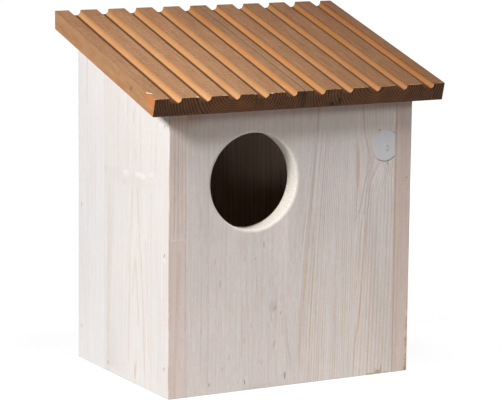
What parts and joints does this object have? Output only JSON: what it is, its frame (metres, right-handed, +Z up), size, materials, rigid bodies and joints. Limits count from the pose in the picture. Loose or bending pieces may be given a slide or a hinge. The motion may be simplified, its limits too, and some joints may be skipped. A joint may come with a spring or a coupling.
{
  "type": "squirrel house",
  "caption": "Squirrel nest box of pale-glazed wooden panels with a round entrance hole, under a sloping roof of grooved brown boards.",
  "frame": {"origin": "centre of the base's footprint, on the ground", "axes": "+Z up; -Y out of the front, which has the entrance; +X to the right seen from the front"},
  "size_m": [0.306, 0.2121, 0.3405],
  "materials": {
    "glazed_spruce": "spruce with a thin, matt whitish glaze, the grain showing through; bare wood on the faces inside the box",
    "glazed_plug": "wooden plug with a thin, matt whitish glaze",
    "floor_spruce": "spruce, glazed thinly underneath, bare inside",
    "roof_wood": "brown heat-treated softwood, sawn ridges and planed grooves, unfinished",
    "steel_wire": "dull galvanised wire, a little rust-stained"
  },
  "bodies": {
    "root": {"front_stave_1": "glazed_spruce", "front_stave_2": "glazed_spruce", "front_stave_3": "glazed_spruce", "front_stave_4": "glazed_spruce", "front_knot_plug": "glazed_plug", "left_side_stave_1": "glazed_spruce", "left_side_stave_2_lower": "glazed_spruce", "left_side_stave_2_upper": "glazed_spruce", "left_side_stave_3_lower": "glazed_spruce", "left_side_stave_3_upper": "glazed_spruce", "right_side_stave_1": "glazed_spruce", "right_side_stave_2_lower": "glazed_spruce", "right_side_stave_2_upper": "glazed_spruce", "right_side_stave_3": "glazed_spruce", "back_stave_1": "glazed_spruce", "back_stave_2": "glazed_spruce", "back_stave_3": "glazed_spruce", "back_stave_4": "glazed_spruce", "back_stave_5": "glazed_spruce", "floor_stave_1": "floor_spruce", "floor_stave_2": "floor_spruce", "floor_stave_3": "floor_spruce", "roof_board_left": "roof_wood", "roof_board_right": "roof_wood", "left_side_brads": "steel_wire", "right_side_brads": "steel_wire", "front_brads": "steel_wire", "back_brads": "steel_wire"}
  },
  "joints": []
}
